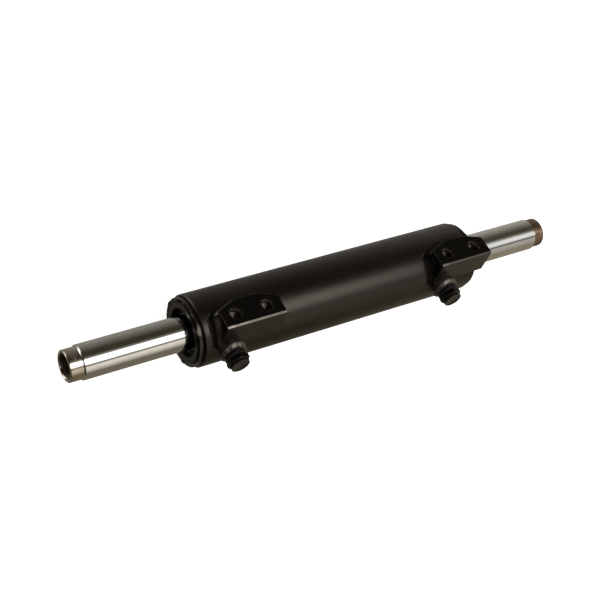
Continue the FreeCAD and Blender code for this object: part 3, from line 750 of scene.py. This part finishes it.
def make_gland(side):
    """Gland with a softened flange, collar and nose and a deep turned mouth."""
    low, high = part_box(f"{side}_gland")
    nose = max(abs(low.x), abs(high.x)) / MM
    inner = min(abs(low.x), abs(high.x)) / MM
    end = BARREL_END / MM
    flange = end - COUNTERBORE_DEPTH / MM
    flange_radius = radius_of(f"{side}_gland") / MM
    pilot_end = inner + GLAND_PILOT_LENGTH
    oring_start, oring_end = (inner + offset for offset in GLAND_ORING)
    bushing_start, bushing_end = (inner + offset for offset in GLAND_BUSHING)
    seal_start, seal_end = (inner + offset for offset in GLAND_ROD_SEAL)
    wiper_start = inner + GLAND_WIPER_START
    mouth_floor = nose - GLAND_MOUTH_DEPTH
    collar_end = end + GLAND_COLLAR_OUT
    outside = [
        (inner, GLAND_ROD_HOLE), (inner, GLAND_PILOT), (pilot_end, GLAND_PILOT),
        (pilot_end, GLAND_BODY), (oring_start, GLAND_BODY), (oring_start, GLAND_ORING_GROOVE),
        (oring_end, GLAND_ORING_GROOVE), (oring_end, GLAND_BODY), (flange, GLAND_BODY),
        (flange, flange_radius), (end - GLAND_RIM_DEPTH, flange_radius),
        (end - GLAND_RIM_DEPTH, GLAND_COLLAR), (collar_end, GLAND_COLLAR),
        (collar_end, GLAND_NOSE), (nose, GLAND_NOSE),
    ]
    inside = [
        (nose, GLAND_MOUTH), (mouth_floor, GLAND_MOUTH_FLOOR), (mouth_floor, GLAND_SEAL_HOUSING),
        (wiper_start, GLAND_SEAL_HOUSING), (wiper_start, GLAND_ROD_HOLE),
        (seal_end, GLAND_ROD_HOLE), (seal_end, GLAND_SEAL_HOUSING),
        (seal_start, GLAND_SEAL_HOUSING), (seal_start, GLAND_ROD_HOLE),
        (bushing_end, GLAND_ROD_HOLE), (bushing_end, GLAND_BUSHING_HOUSING),
        (bushing_start, GLAND_BUSHING_HOUSING), (bushing_start, GLAND_ROD_HOLE),
    ]
    corners = [(along * MM, radius * MM) for along, radius in outside + inside]
    profile = soften(corners, GLAND_CORNER)
    points, faces = lathe(profile)
    add_piece(f"{side}_gland_body", mirrored_ends(points, side), faces, "barrel", GLAND_PAINT,
              [f"{side}_gland"])


WIPER_INSIDE = 20.05 * MM
WIPER_OUTSIDE = 25.0 * MM
WIPER_LIP_LENGTH = 2.0 * MM
WIPER_LIP_FOOT = 23.6 * MM
WIPER_LIP_SHOULDER = 22.9 * MM
WIPER_LIP_TIP = 21.4 * MM
WIPER_CORNER = 0.5 * MM


def make_wiper(side):
    """Wiper with a rounded outer lip that hugs the rod."""
    low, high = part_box(f"{side}_rod_wiper")
    start = min(abs(low.x), abs(high.x))
    end = max(abs(low.x), abs(high.x))
    lip_start = end - WIPER_LIP_LENGTH
    lip_middle = end - WIPER_LIP_LENGTH / 2
    corners = [
        (start, WIPER_INSIDE), (start, WIPER_OUTSIDE), (lip_start, WIPER_OUTSIDE),
        (lip_start, WIPER_LIP_FOOT), (lip_middle, WIPER_LIP_SHOULDER), (end, WIPER_LIP_TIP),
        (end, WIPER_INSIDE),
    ]
    profile = soften(corners, WIPER_CORNER)
    points, faces = lathe(profile)
    add_piece(f"{side}_wiper_ring", mirrored_ends(points, side), faces, "barrel", POLYURETHANE,
              [f"{side}_rod_wiper"])


# ---------------------------------------------------------------- rod

ROD_RADIUS = radius_of("piston_rod")
ROD_LOW, ROD_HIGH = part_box("piston_rod")
ROD_MIDDLE = (ROD_LOW.x + ROD_HIGH.x) / 2
ROD_END = (ROD_HIGH.x - ROD_LOW.x) / 2
SPIGOT_RADIUS = 18.4 * MM
SPIGOT_LENGTH = 15.0 * MM
ROD_SHOULDER = 1.4 * MM
ROD_THREAD_RADIUS = 15.0 * MM
ROD_THREAD_DEPTH = 38.0 * MM
ROD_THREAD_MOUTH = 1.2 * MM
ROD_THREAD_PITCH = 2.0 * MM
ROD_THREAD_HEIGHT = 1.1 * MM
ROD_THREAD_START = 1.6 * MM
ROD_DRILL_POINT = 8.0 * MM
ROD_END_WALL = 0.5 * MM
ROD_BAR_TIP = 9.0 * MM
ROD_SPIGOT_CHAMFER = 0.8 * MM
ROD_SPIGOT_OVERLAP = 0.3 * MM
ROD_LIP = 0.4 * MM
ROD_STEPS = 224
ROD_END_STEPS = 192
ROD_THREAD_STEPS = 80


def along_rod(points, side="right"):
    """Moves points drawn about the rod's own middle to where the rod rests."""
    return [(x + ROD_MIDDLE, y, z) for x, y, z in mirrored_ends(points, side)]


def make_rod():
    """Chromed bar between its shoulders, with bare steel ends and tapped bores."""
    shoulder = ROD_END - SPIGOT_LENGTH
    thread_end = ROD_END - ROD_THREAD_DEPTH
    bar = [
        (-shoulder, SPIGOT_RADIUS - ROD_LIP), (-shoulder, SPIGOT_RADIUS),
        (-shoulder + ROD_SHOULDER, ROD_RADIUS), (shoulder - ROD_SHOULDER, ROD_RADIUS),
        (shoulder, SPIGOT_RADIUS), (shoulder, SPIGOT_RADIUS - ROD_LIP),
    ]
    tip = thread_end - ROD_BAR_TIP
    profile = soften(bar, 0.25 * MM, closed=False)
    profile = [(-tip, 0.0)] + profile + [(tip, 0.0)]
    points, faces = lathe(profile, ROD_STEPS, closed=False)
    add_piece("rod_bar", along_rod(points), faces, "rod", CHROME,
              ["piston_rod"])
    for side, finish in (("left", GROUND_STEEL), ("right", BROWN_STEEL)):
        spigot_start = shoulder - ROD_SPIGOT_OVERLAP
        corners = [
            (thread_end - ROD_DRILL_POINT, 0.0), (thread_end, ROD_THREAD_RADIUS),
            (ROD_END - ROD_THREAD_MOUTH, ROD_THREAD_RADIUS),
            (ROD_END, ROD_THREAD_RADIUS + ROD_THREAD_MOUTH),
            (ROD_END, SPIGOT_RADIUS - ROD_SPIGOT_CHAMFER),
            (ROD_END - ROD_SPIGOT_CHAMFER, SPIGOT_RADIUS),
            (spigot_start, SPIGOT_RADIUS), (spigot_start, ROD_THREAD_RADIUS + 1 * MM),
            (thread_end - ROD_DRILL_POINT - ROD_END_WALL, 0.0),
        ]
        outline = soften(corners, 0.3 * MM, closed=False)
        points, faces = lathe(outline, ROD_END_STEPS, closed=False)
        add_piece(f"rod_{side}_end", along_rod(points, side), faces, "rod", finish)
        ridge, faces = thread_ridge(thread_end, ROD_THREAD_DEPTH - ROD_THREAD_START,
                                    ROD_THREAD_RADIUS, ROD_THREAD_HEIGHT, ROD_THREAD_PITCH,
                                    ROD_THREAD_STEPS)
        add_piece(f"rod_{side}_thread", along_rod(ridge, side), faces, "rod", THREAD_STEEL)


# ---------------------------------------------------------------- studio

def lying_to_part(direction):
    """A direction given in the lying cylinder's world, in the part's own frame."""
    return Matrix.Rotation(-PART_ROLL, 3, "X") @ Vector(direction)


# The studio's surfaces, as bands that run along the cylinder. Each one's degrees are measured up
# from straight in front: where it begins, where it is at its full brightness from and to, and where
# it ends. Then come its brightness at the left and at the right, and its warmth. A later surface
# covers an earlier one, and the room is what they leave free.
ROOM = ((0.3, 0.4), 0.15)
SURFACES = {
    "shade under the cylinder": ((-170, -120, -60, -30), (0.2, 0.3), 0.35),
    "dark ceiling": ((40, 55, 80, 150), (0.05, 0.08), 0.4),
    "lit floor in front": ((-55, -20, -12, -4), (1.0, 0.5), 0.2),
    "gap under the softbox": ((-10, -5, -2, 2), (0.3, 0.1), 0.1),
    "softbox": ((2, 10, 30, 40), (4.8, 1.0), 0.0),
}
# how much of the warmth the green takes; the blue takes all of it
WARM_GREEN = 0.35

# how far along +X the studio changes from its left-hand to its right-hand brightness
LEFT_TO_RIGHT = (0.478, 0.56)
# the front is dim where it faces the left-hand end
DIM_TO_THE_LEFT = (-0.1, 0.25, 0.15, 1.0)
FRONT_TO_BACK = (0.1, -0.1)

# a softbox high behind, placed where only a camera behind the cylinder finds its reflection
BACK_LIGHT = (2.5, 2.45, 2.35)
BACK_LIGHT_LOW = (math.radians(122), math.radians(130))
BACK_LIGHT_HIGH = (math.radians(155), math.radians(147))
BACK_LIGHT_LEFT = (0.20, 0.0)
BACK_LIGHT_RIGHT = (0.73, 0.77)


def lamp_colour(brightness, warmth):
    """Grey light of a brightness, yellower the warmer it is."""
    return (brightness, brightness * (1 - WARM_GREEN * warmth), brightness * (1 - warmth))


def studio_colour(tree, angle, to_the_right):
    """The studio's colour at an angle round the cylinder's axis."""
    def blended(brightness, warmth):
        left, right = brightness
        return tree.mix(to_the_right, lamp_colour(left, warmth), lamp_colour(right, warmth))

    colour = blended(*ROOM)
    for degrees, brightness, warmth in SURFACES.values():
        begins, full_from, full_to, ends = (math.radians(degree) for degree in degrees)
        inside = tree.math("MULTIPLY", tree.spread(angle, begins, full_from),
                           tree.spread(angle, ends, full_to))
        colour = tree.mix(inside, colour, blended(brightness, warmth))
    return colour


def make_world():
    """Soft studio made of the surfaces above. The camera itself sees plain white."""
    world = bpy.data.worlds.new("studio")
    bpy.context.scene.world = world
    tree = Tree(world)
    background = tree.nodes["Background"]
    output = tree.nodes["World Output"]
    where = tree.add("ShaderNodeTexCoord").outputs["Generated"]

    def along(direction):
        dot = tree.add("ShaderNodeVectorMath", operation="DOT_PRODUCT")
        tree.join(where, dot.inputs[0])
        dot.inputs[1].default_value = lying_to_part(direction)
        return dot.outputs["Value"]

    rise = along((0, 0, 1))
    front = along((0, -1, 0))
    sideways = along((1, 0, 0))
    angle = tree.math("ARCTAN2", rise, front)
    to_the_right = tree.spread(sideways, *LEFT_TO_RIGHT)
    colour = studio_colour(tree, angle, to_the_right)
    dim_left = tree.math("MAXIMUM", tree.spread(sideways, *DIM_TO_THE_LEFT),
                         tree.spread(front, *FRONT_TO_BACK))
    from_behind = tree.math("MAXIMUM", tree.spread(sideways, *BACK_LIGHT_LEFT),
                            tree.spread(sideways, *BACK_LIGHT_RIGHT))
    high_behind = tree.math("MULTIPLY", tree.spread(angle, *BACK_LIGHT_LOW),
                            tree.spread(angle, *BACK_LIGHT_HIGH))
    colour = tree.mix(tree.math("MULTIPLY", from_behind, high_behind), colour, BACK_LIGHT)
    tree.join(colour, background.inputs["Color"])
    tree.join(dim_left, background.inputs["Strength"])
    plain = tree.add("ShaderNodeBackground")
    plain.inputs["Strength"].default_value = 1.0
    plain.inputs["Color"].default_value = (1, 1, 1, 1)
    seen = tree.add("ShaderNodeMixShader")
    tree.join(tree.add("ShaderNodeLightPath").outputs["Is Camera Ray"], seen.inputs[0])
    tree.join(background.outputs[0], seen.inputs[1])
    tree.join(plain.outputs[0], seen.inputs[2])
    tree.join(seen.outputs[0], output.inputs[0])


FLOOR_HALF = 6.0
FLOOR_GAP = 0.4 * MM
FLOOR_GLOW = 0.82


def make_floor():
    """Pale floor under the barrel, that shows a faint contact shadow and hides nothing below."""
    half = FLOOR_HALF
    level = cad_low.z - FLOOR_GAP
    mesh = bpy.data.meshes.new("floor")
    mesh.from_pydata([(-half, -half, level), (half, -half, level), (half, half, level),
                      (-half, half, level)], [], [(0, 1, 2, 3)])
    material, tree = new_material("pale_floor")
    shader = tree.shader
    shader.inputs["Roughness"].default_value = 0.9
    tone = tree.spread(tree.noise(3), 0.3, 0.7, 0.78, 0.82)
    tree.join(tone, shader.inputs["Base Color"])
    shader.inputs["Emission Color"].default_value = (1, 1, 1, 1)
    shader.inputs["Emission Strength"].default_value = FLOOR_GLOW
    clear = tree.add("ShaderNodeBsdfTransparent")
    choose = tree.add("ShaderNodeMixShader")
    tree.join(tree.add("ShaderNodeNewGeometry").outputs["Backfacing"], choose.inputs[0])
    tree.join(shader.outputs[0], choose.inputs[1])
    tree.join(clear.outputs[0], choose.inputs[2])
    tree.join(choose.outputs[0], tree.nodes["Material Output"].inputs[0])
    mesh.materials.append(material)
    floor = bpy.data.objects.new("floor", mesh)
    floor.visible_glossy = False
    floor.visible_diffuse = False
    bpy.context.scene.collection.objects.link(floor)


SOFTBOX_WIDTH = 1.8
SOFTBOX_DEPTH = 1.2
SOFTBOX_POWER = 14.0
SOFTBOX_PLACE = (0.2, -0.9, 1.6)


def make_light():
    """One large overhead softbox, only for the floor's soft shadow and the matt surfaces."""
    data = bpy.data.lights.new("softbox", "AREA")
    data.shape = "RECTANGLE"
    data.size = SOFTBOX_WIDTH
    data.size_y = SOFTBOX_DEPTH
    data.energy = SOFTBOX_POWER
    light = bpy.data.objects.new("softbox", data)
    light.location = SOFTBOX_PLACE
    light.rotation_euler = (-light.location).to_track_quat("-Z", "Y").to_euler()
    light.visible_glossy = False
    bpy.context.scene.collection.objects.link(light)


def make_camera():
    """Camera at the cylinder's own height of view, turned into the part's frame."""
    ahead = lying_to_part((-math.sin(CAMERA_AZIMUTH) * math.cos(CAMERA_ELEVATION),
                           math.cos(CAMERA_AZIMUTH) * math.cos(CAMERA_ELEVATION),
                           -math.sin(CAMERA_ELEVATION)))
    right = lying_to_part((math.cos(CAMERA_AZIMUTH), math.sin(CAMERA_AZIMUTH), 0))
    down = ahead.cross(right)
    data = bpy.data.cameras.new("camera")
    data.lens = CAMERA_LENS
    data.sensor_width = CAMERA_SENSOR
    data.clip_start = 0.05
    data.clip_end = 50
    camera = bpy.data.objects.new("camera", data)
    turn = Matrix((right, -down, -ahead)).transposed()
    place = -(right * CAMERA_SHIFT_RIGHT + down * CAMERA_SHIFT_DOWN + ahead * CAMERA_DISTANCE)
    camera.matrix_world = Matrix.Translation(place) @ turn.to_4x4()
    bpy.context.scene.collection.objects.link(camera)
    bpy.context.scene.camera = camera


finish_cad_nodes()
make_barrel()
for side in SIDES:
    make_pad_weld(side)
    make_pad_threads(side)
    make_port_weld(side)
    make_port_plug(side)
    make_gland(side)
    make_wiper(side)
make_rod()
make_world()
make_floor()
make_light()
make_camera()
bpy.context.scene.view_settings.view_transform = "Standard"
